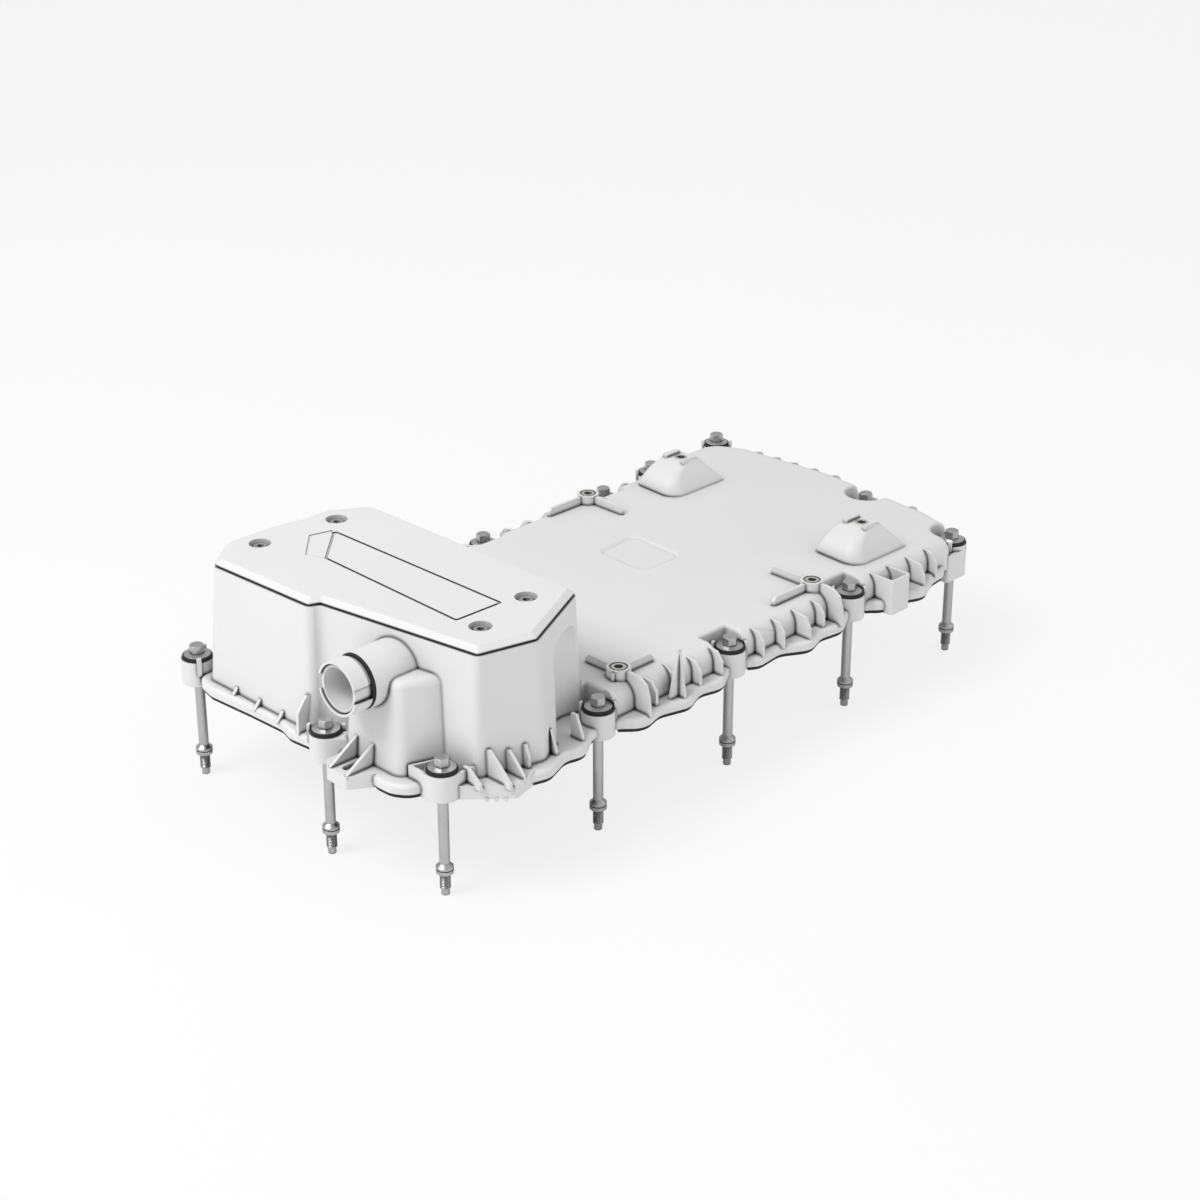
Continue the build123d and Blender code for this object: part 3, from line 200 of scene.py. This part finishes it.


# %% [markdown]
# ## Moulded plastic
# The cover and its lid are glass-filled nylon from a spark-eroded mould: a fine even grain and a
# faint cloudiness where the melt flowed.  Painted shade darkens the corners.  Grain is far too
# small to model, so it is a bump from noise; the painted shade follows a node that measures how
# enclosed each point is, grey over a wide reach and near black in the tightest creases.

# %% Cover plastic
def painted_corner_shade(finish, reach, darkness):
    """How much painted shade to lay on, from none on open faces to full in tight corners."""
    open_sky = finish.node(
        "ShaderNodeAmbientOcclusion", {"samples": 8}, output="AO", Distance=reach,
    )
    return ((1.0 - open_sky) * darkness).within(0.0, 1.0)


def cover_plastic():
    """Pale grey moulded plastic, with painted shade in its corners and creases."""
    finish = Finish("moulded_cover_plastic", specular=0.45)
    flow = finish.noise(7.0, detail=4.0)
    speckle = finish.noise(900.0, detail=2.0)
    base = finish.blend(flow, (0.76, 0.76, 0.76), (0.81, 0.81, 0.81))
    # Painted shade: a broad grey darkening that spreads about 20 mm from every enclosed corner.
    shade = painted_corner_shade(finish, reach=0.020, darkness=0.60)
    broadly_shaded = finish.blend(shade, base, (0.30, 0.30, 0.305))
    # Painted shade: near-black darkening in the tightest creases, standing in for their shadow.
    crease_shade = painted_corner_shade(finish, reach=0.003, darkness=1.9)
    fully_shaded = finish.blend(crease_shade, broadly_shaded, (0.03, 0.03, 0.032))
    grain = finish.noise(2300.0, detail=2.0) * 0.7 + speckle * 0.3
    finish.bump(grain, strength=0.22, distance=0.00012, edge_radius=0.0006)
    return finish.set(Base_Color=fully_shaded, Roughness=flow * 0.08 + speckle * 0.06 + 0.40)


plastic = cover_plastic()

# %% [markdown]
# ## Black inner mouldings, rubber and metals
# The separator inside is plain black nylon.  Rubber is darker and duller, with a bloom that
# greys it in patches.  Zinc plating is bright with a fine directional brushing, the threaded
# inserts are turned and nickelled, and the filter is a wound fleece of crossing fibres.

# %% The other finishes
def inner_plastic():
    """Black moulded nylon."""
    finish = Finish("moulded_black_plastic", specular=0.4)
    flow = finish.noise(20.0)
    finish.bump(finish.noise(1800.0, detail=2.0), strength=0.25, distance=0.0001)
    return finish.set(Base_Color=finish.blend(flow, (0.035, 0.035, 0.037), (0.06, 0.06, 0.063)),
                      Roughness=flow * 0.12 + 0.38)


def black_rubber():
    """Gasket and seal rubber with a faint bloom."""
    finish = Finish("black_rubber", specular=0.35)
    bloom = finish.noise(45.0, detail=4.0)
    finish.bump(finish.noise(1500.0), strength=0.3, distance=0.00015)
    return finish.set(Base_Color=finish.blend(bloom, (0.012, 0.012, 0.013), (0.03, 0.03, 0.031)),
                      Roughness=bloom * 0.2 + 0.55)


def zinc_steel():
    """Zinc-plated steel, brushed round the bolt and a little stained, with painted shade in tight
    corners.
    """
    finish = Finish("zinc_plated_steel", metallic=1.0)
    brushing = finish.noise(260.0, stretch=(1.0, 1.0, 9.0))
    stain = finish.noise(60.0, detail=4.0)
    unshaded_zinc = finish.blend(stain, (0.46, 0.46, 0.47), (0.60, 0.60, 0.60))
    # Painted shade: near-black darkening within about 1.5 mm of the bolt's tight corners.
    crease_shade = painted_corner_shade(finish, reach=0.0015, darkness=1.8)
    colour = finish.blend(crease_shade, unshaded_zinc, (0.04, 0.04, 0.042))
    finish.bump(brushing, strength=0.12, distance=0.0001)
    return finish.set(Base_Color=colour, Roughness=brushing * 0.16 + stain * 0.10 + 0.22)


def spring_steel():
    """Drawn spring wire."""
    finish = Finish("drawn_spring_wire", metallic=1.0)
    stain = finish.noise(300.0)
    finish.bump(stain, strength=0.1, distance=0.00005)
    return finish.set(Base_Color=finish.blend(stain, (0.36, 0.36, 0.37), (0.5, 0.5, 0.51)),
                      Roughness=stain * 0.15 + 0.25)


def nickelled_insert():
    """Turned inserts, nickel plated, with fine tool rings."""
    finish = Finish("nickelled_insert", metallic=1.0)
    rings = finish.noise(500.0, detail=2.0, stretch=(1.0, 1.0, 6.0))
    finish.bump(rings, strength=0.15, distance=0.00008)
    return finish.set(Base_Color=finish.blend(rings, (0.66, 0.65, 0.62), (0.80, 0.79, 0.76)),
                      Roughness=rings * 0.15 + 0.24)


def filter_fleece():
    """Wound fleece of pale fibres."""
    finish = Finish("filter_fleece", specular=0.2)
    along = finish.noise(700.0, detail=4.0, stretch=(1.0, 1.0, 0.12))
    across = finish.noise(700.0, detail=4.0, stretch=(0.12, 0.12, 1.0))
    fibres = along * 0.5 + across * 0.5
    finish.bump(fibres, strength=0.7, distance=0.0006)
    return finish.set(Base_Color=finish.blend(fibres, (0.55, 0.53, 0.47), (0.86, 0.85, 0.80)),
                      Roughness=0.92)


# %% Give every piece its finish
finishes = {
    "cover_plastic": plastic,
    "tray_plastic": inner_plastic(),
    "black_rubber": black_rubber(),
    "zinc_steel": zinc_steel(),
    "spring_steel": spring_steel(),
    "brass_insert": nickelled_insert(),
    "filter_fleece": filter_fleece(),
}
for entry in frame["record"]["subparts"]:
    piece = frame["nodes"][entry["node"]]
    for slot in piece.material_slots:
        slot.material = finishes[entry["material_slot"]]

# %% [markdown]
# ## The captive bolts
# Thirteen long flange bolts hold the cover down.  Each is a pressed hexagon with its corners
# turned off, a sloped washer, a plain shank, a collar that keeps it from falling out of the
# isolator, a rolled thread and a dog point that finds the hole.  All are the same, so one bolt is
# built in Geometry Nodes from named sizes and set at every place.  The places come from the frame:
# each hexagon's flat top in the CAD mesh is found, and its middle is the bolt's axis.  A thread is
# a rule and not a shape to draw: a fine tube whose radius rises and falls with height plus the
# share of a turn, which leaves one continuous helix.

# %% Find the bolts' axes in the frame
millimetre = 0.001
bolt_low, bolt_high = (Vector(corner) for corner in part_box("cover_bolts"))
# Vertices this near the highest point are a flat top's, and those this near each other one bolt's.
flat_top_band = 0.01 * millimetre
widest_head = 15 * millimetre


def bolt_places():
    """Middle of each bolt, from the corners of its flat top."""
    groups = []
    for vertex in frame["nodes"]["cover_bolts"].data.vertices:
        if vertex.co.z < bolt_high.z - flat_top_band:
            continue
        spot = vertex.co.xy
        near = [group for group in groups if (group[0] - spot).length < widest_head]
        if near:
            near[0].append(spot)
        else:
            groups.append([spot])
    middles = []
    for group in groups:
        xs, ys = [spot.x for spot in group], [spot.y for spot in group]
        middles.append((0.5 * (min(xs) + max(xs)), 0.5 * (min(ys) + max(ys)), 0.0))
    return middles


bolt_axes = bolt_places()
print("bolts found:", len(bolt_axes))

# %% [markdown]
# ## A geometry tree with named sizes
# Geometry Nodes are a graph too, so the same method adds their nodes.  Every size is an input of
# the tree, and the modifier is given its value by the input's identifier.  The last nodes turn the
# copies into real mesh and give it a material, and then the result is kept as a plain mesh.

# %% The tree's own class
class Shape(Graph):
    """A geometry tree whose sizes are inputs that a reader can change."""

    def __init__(self, name):
        self.tree = bpy.data.node_groups.new(name, "GeometryNodeTree")
        self.inputs = self.tree.nodes.new("NodeGroupInput")
        self.outputs = self.tree.nodes.new("NodeGroupOutput")
        self.values = {}
        self.tree.interface.new_socket(
            "Geometry", in_out="OUTPUT", socket_type="NodeSocketGeometry",
        )
        self.points = self.size("Places", None, "NodeSocketGeometry")

    def size(self, name, value, kind="NodeSocketFloat"):
        """Adds a named input and notes the value that the modifier gives it."""
        socket = self.tree.interface.new_socket(name, in_out="INPUT", socket_type=kind)
        if value is not None:
            self.values[socket.identifier] = value
        return Field(self.tree, self.inputs.outputs[name])

    def lift(self, shape, height):
        """Moves a shape up by a height."""
        move = self.node("ShaderNodeCombineXYZ", Z=height)
        return self.node("GeometryNodeTransform", Geometry=shape, Translation=move)

    def section(self, low, high, low_radius, high_radius, sides=40):
        """Closed round section between two heights, straight or tapered."""
        cone = self.node(
            "GeometryNodeMeshCone", Vertices=sides, Radius_Bottom=low_radius,
            Radius_Top=high_radius, Depth=high - low,
        )
        return self.lift(cone, low)

    def join(self, shapes):
        """All the shapes as one geometry."""
        node = self.tree.nodes.new("GeometryNodeJoinGeometry")
        for shape in shapes:
            self.tree.links.new(shape.socket, node.inputs[0])
        return Field(self.tree, node.outputs[0])

    def common(self, first, second):
        """Only what two shapes share."""
        node = self.tree.nodes.new("GeometryNodeMeshBoolean")
        node.operation, node.solver = "INTERSECT", "EXACT"
        for shape in (first, second):
            self.tree.links.new(shape.socket, node.inputs[1])
        return Field(self.tree, node.outputs[0])

    def build(self, name, points, repeated, finish, turn, seed):
        """Sets the shape at every place and returns the result as a plain mesh object."""
        spin = self.node("FunctionNodeRandomValue", {"data_type": "FLOAT_VECTOR"}, Seed=seed)
        least, most = spin.socket.node.inputs[:2]
        least.default_value, most.default_value = (0.0, 0.0, -turn), (0.0, 0.0, turn)
        placed = self.node(
            "GeometryNodeInstanceOnPoints", Points=self.points, Instance=repeated, Rotation=spin,
        )
        real = self.node("GeometryNodeRealizeInstances", Geometry=placed)
        done = self.node("GeometryNodeSetMaterial", Geometry=real, Material=finish)
        feed(self.tree, self.outputs.inputs[0], done)
        seed_mesh = bpy.data.meshes.new(name + "_places")
        seed_mesh.from_pydata(points, [], [])
        piece = bpy.data.objects.new(name, seed_mesh)
        bpy.context.scene.collection.objects.link(piece)
        modifier = piece.modifiers.new("Repeat", "NODES")
        modifier.node_group = self.tree
        for identifier, value in self.values.items():
            modifier[identifier] = value
        evaluated = piece.evaluated_get(bpy.context.evaluated_depsgraph_get())
        mesh = bpy.data.meshes.new_from_object(evaluated)
        piece.modifiers.clear()
        piece.data = mesh
        print(name, "faces:", len(mesh.polygons))
        return piece


# %% [markdown]
# ## One bolt
# The round parts are short straight or tapered sections, stacked from the hexagon down.  Where a
# cone and a six-sided prism overlap is the turned hexagon, with the curved edge that a lathe
# leaves on each corner.

# %% A rolled thread
thread_rows = 84
thread_sides = 28
# The groove's depth as a share of the radius, and how fast it reaches that depth at each end.
thread_depth_share = 0.17
run_out_per_metre = 900.0


def thread(shape, low, high, radius, pitch):
    """Tube whose radius follows a helix, with the groove run out at both ends."""
    tube = shape.node(
        "GeometryNodeMeshCylinder", Vertices=thread_sides, Side_Segments=thread_rows,
        Radius=radius, Depth=high - low,
    )
    tube = shape.lift(tube, (high + low) * 0.5)
    spot = shape.node("GeometryNodeInputPosition")
    parts = shape.node("ShaderNodeSeparateXYZ", Vector=spot).socket.node.outputs
    x, y, z = (Field(shape.tree, parts[i]) for i in range(3))
    share_of_turn = y.heading(x) * (0.5 / pi)
    saw = (z / pitch - share_of_turn).past_whole()
    groove = (saw * 2.0 - 1.0).without_sign()
    run_out = ((high - z) * run_out_per_metre).within(0.0, 1.0)
    run_in = ((z - low) * run_out_per_metre).within(0.0, 1.0)
    scale = 1.0 - groove * (run_out * run_in) * thread_depth_share
    moved = shape.node("ShaderNodeCombineXYZ", X=x * scale, Y=y * scale, Z=z)
    return shape.node("GeometryNodeSetPosition", Geometry=tube, Position=moved)


# %% The whole bolt
# Two radii as shares of the size across the flats.
chamfer_share = 0.475
washer_top_share = 0.56
# The washer's straight rim, and the collar's cone and groove, as shares of their own heights.
rim_share = 0.4
collar_slope_share = 0.3
collar_groove_share = 0.5
collar_groove_width = 0.9 * millimetre
# Below the thread a short cone leads from its root to the dog point.
thread_root_share = 1.0 - thread_depth_share
lead_in_length = 1.0 * millimetre
turned_edge = 0.4 * millimetre
chamfer_sides = 48


def bolt_tree():
    """One flange bolt, from its hexagon down to its dog point."""
    shape = Shape("flange_bolt")
    flats = shape.size("Across flats", 10.0 * millimetre)
    top = shape.size("Top of hexagon", bolt_high.z)
    tip = shape.size("Tip of dog point", bolt_low.z)
    hexagon_height = shape.size("Hexagon height", 6.5 * millimetre)
    washer_radius = shape.size("Washer radius", 10.25 * millimetre)
    washer_height = shape.size("Washer height", 1.5 * millimetre)
    shank_radius = shape.size("Shank radius", 3.8 * millimetre)
    collar_radius = shape.size("Collar radius", 6.35 * millimetre)
    collar_drop = shape.size("Seat to collar", 76.0 * millimetre)
    collar_length = shape.size("Collar length", 8.0 * millimetre)
    groove_depth = shape.size("Collar groove depth", 0.6 * millimetre)
    thread_radius = shape.size("Thread radius", 4.0 * millimetre)
    thread_pitch = shape.size("Thread pitch", 1.25 * millimetre)
    dog_radius = shape.size("Dog radius", 3.05 * millimetre)
    dog_length = shape.size("Dog length", 4.5 * millimetre)
    corner_radius = flats * (0.5 / cos(pi / 6))
    chamfer_radius = flats * chamfer_share
    hexagon_foot = top - hexagon_height
    seat = hexagon_foot - washer_height
    prism = shape.section(hexagon_foot, top, corner_radius, corner_radius, 6)
    chamfer_foot = chamfer_radius + hexagon_height * (1 / tan(pi / 6))
    chamfer = shape.section(hexagon_foot, top, chamfer_foot, chamfer_radius, chamfer_sides)
    rim = seat + washer_height * rim_share
    collar_high = seat - collar_drop
    collar_low = collar_high - collar_length
    collar_wide = collar_high - collar_length * collar_slope_share
    groove_high = collar_high - collar_length * collar_groove_share
    groove_low = groove_high - collar_groove_width
    groove_radius = collar_radius - groove_depth
    edge_high = collar_low + turned_edge
    dog_high = tip + dog_length
    dog_edge = tip + turned_edge
    thread_low = dog_high + lead_in_length
    pieces = [
        shape.common(prism, chamfer),
        shape.section(seat, rim, washer_radius, washer_radius),
        shape.section(rim, hexagon_foot, washer_radius, flats * washer_top_share),
        shape.section(collar_high, seat, shank_radius, shank_radius),
        shape.section(collar_wide, collar_high, collar_radius, shank_radius),
        shape.section(groove_high, collar_wide, collar_radius, collar_radius),
        shape.section(groove_low, groove_high, groove_radius, groove_radius),
        shape.section(edge_high, groove_low, collar_radius, collar_radius),
        shape.section(collar_low, edge_high, collar_radius - turned_edge, collar_radius),
        thread(shape, thread_low, collar_low, thread_radius, thread_pitch),
        shape.section(dog_high, thread_low, dog_radius, thread_radius * thread_root_share),
        shape.section(dog_edge, dog_high, dog_radius, dog_radius),
        shape.section(tip, dog_edge, dog_radius - turned_edge, dog_radius),
    ]
    return shape, shape.join(pieces)


# %% Set a bolt on every axis
bolt_shape, one_bolt = bolt_tree()
bolts = bolt_shape.build(
    "flange_bolts", bolt_axes, one_bolt, finishes["zinc_steel"], turn=radians(30.0), seed=7,
)
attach(bolts, "root")
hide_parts("cover_bolts")

# %% [markdown]
# ## Floor, light and camera
# The part stands on its bolt tips on white paper.  One large soft lamp above and to the left
# models the forms, a weaker one fills the right, and the world lifts the shadows.  The camera
# looks down steeply enough that the paper fills the frame, and a share of glow that only the
# camera sees keeps it white to the edges while a soft shadow stays.

# %% Floor and backdrop
floor_height = cad_box[0][2]
stage_half_width = 12.0
stage_half_depth = 10.0
paper_glow = 0.8


def studio_paper():
    """White paper: the camera sees most of it as lit from behind, and the shadow stays on it."""
    finish = Finish("studio_paper", specular=0.1)
    clouds = finish.noise(3.0)
    white = finish.blend(clouds, (0.86, 0.86, 0.86), (0.89, 0.89, 0.89))
    paper = finish.set(Base_Color=white, Roughness=0.9)
    seen = finish.node("ShaderNodeLightPath", output="Is Camera Ray") * paper_glow
    glow = finish.node("ShaderNodeEmission", Color=(1.0, 1.0, 1.0, 1.0), Strength=1.0)
    mix = finish.node("ShaderNodeMixShader", Fac=seen).socket.node
    feed(finish.tree, mix.inputs[1], finish.surface.outputs[0])
    feed(finish.tree, mix.inputs[2], glow)
    feed(finish.tree, finish.tree.nodes["Material Output"].inputs["Surface"], mix.outputs[0])
    return paper


floor_mesh = bpy.data.meshes.new("studio_floor")
corners = [
    (-stage_half_width, -stage_half_depth), (stage_half_width, -stage_half_depth),
    (stage_half_width, stage_half_depth), (-stage_half_width, stage_half_depth),
]
floor_mesh.from_pydata([(x, y, floor_height) for x, y in corners], [], [(0, 1, 2, 3)])
floor = bpy.data.objects.new("studio_floor", floor_mesh)
bpy.context.scene.collection.objects.link(floor)
floor_mesh.materials.append(studio_paper())

# %% Lamps
def area_lamp(name, place, target, size, power):
    """Square soft box aimed at a point."""
    lamp = bpy.data.lights.new(name, "AREA")
    lamp.size, lamp.energy = size, power
    holder = bpy.data.objects.new(name, lamp)
    holder.location = place
    holder.rotation_euler = (Vector(target) - Vector(place)).to_track_quat("-Z", "Y").to_euler()
    bpy.context.scene.collection.objects.link(holder)


middle = (Vector(cad_box[0]) + Vector(cad_box[1])) / 2
area_lamp("key_softbox", middle + Vector((-1.6, 0.3, 1.9)), middle, size=1.1, power=33.0)
area_lamp("fill_softbox", middle + Vector((1.0, -2.0, 0.9)), middle, size=1.6, power=6.0)


# %% Surroundings
class Sky(Graph):
    """Even white surroundings, dimmer for the light they give than for the camera."""

    def __init__(self, given, seen):
        world = bpy.data.worlds.new("studio_world")
        world.use_nodes = True
        self.tree = world.node_tree
        background = self.tree.nodes["Background"]
        background.inputs["Color"].default_value = (1.0, 1.0, 1.0, 1.0)
        camera_ray = self.node("ShaderNodeLightPath", output="Is Camera Ray")
        feed(self.tree, background.inputs["Strength"], camera_ray * (seen - given) + given)
        bpy.context.scene.world = world


Sky(given=0.6, seen=0.97)
bpy.context.scene.view_settings.view_transform = "Standard"

# %% Camera
camera_place = Vector((-1.130, -1.1319, 0.8518))
camera_pitch = radians(25.0)
camera_heading = radians(45.0)
# Lens and sensor are in millimetres, and the farthest distance that is drawn is in metres.
lens_length = 75.27
sensor_width = 36.0
farthest = 60.0
camera_data = bpy.data.cameras.new("camera")
camera_data.lens = lens_length
camera_data.sensor_width = sensor_width
camera_data.clip_end = farthest
camera = bpy.data.objects.new("camera", camera_data)
camera.location = camera_place
level = cos(camera_pitch)
looking = Vector((cos(camera_heading) * level, sin(camera_heading) * level, -sin(camera_pitch)))
camera.rotation_euler = looking.to_track_quat("-Z", "Y").to_euler()
bpy.context.scene.collection.objects.link(camera)
bpy.context.scene.camera = camera
